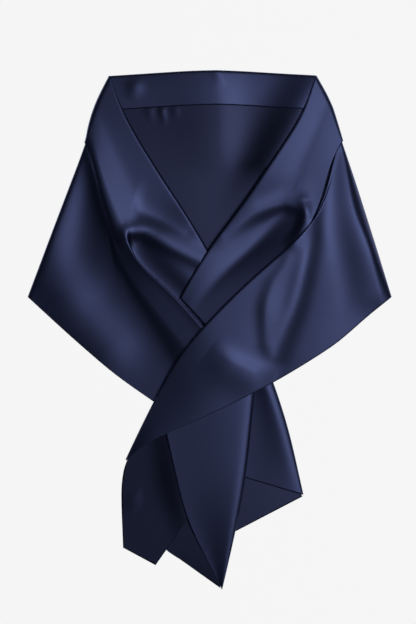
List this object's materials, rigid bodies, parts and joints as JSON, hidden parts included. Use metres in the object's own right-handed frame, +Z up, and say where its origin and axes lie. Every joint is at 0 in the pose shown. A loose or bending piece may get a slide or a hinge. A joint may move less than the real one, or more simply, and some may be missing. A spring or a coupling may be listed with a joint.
{
  "type": "evening stole",
  "caption": "Long satin shoulder wrap laid flat, neck edge turned down as a shawl collar, its ends crossed and drawn through at the front.",
  "frame": {"origin": "middle of the laid garment's outline, on the surface it lies on", "axes": "+Y from the tails towards the neck edge, +Z up out of the surface, +X to the right of the laid garment as seen from above"},
  "size_m": [0.5816, 0.8289, 0.0231],
  "materials": {
    "satin": "navy duchess satin, soft broad sheen",
    "satin_reverse": "reverse of the same satin, a little duller"
  },
  "bodies": {
    "root": {"back_panel": "satin_reverse", "back_collar": "satin", "neck_band": "satin", "left_collar": "satin", "left_front": "satin", "right_collar": "satin", "right_front": "satin", "right_tail": "satin_reverse", "left_tail": "satin", "left_tail_under": "satin_reverse", "left_tail_side": "satin", "left_tail_back": "satin_reverse"}
  },
  "joints": []
}
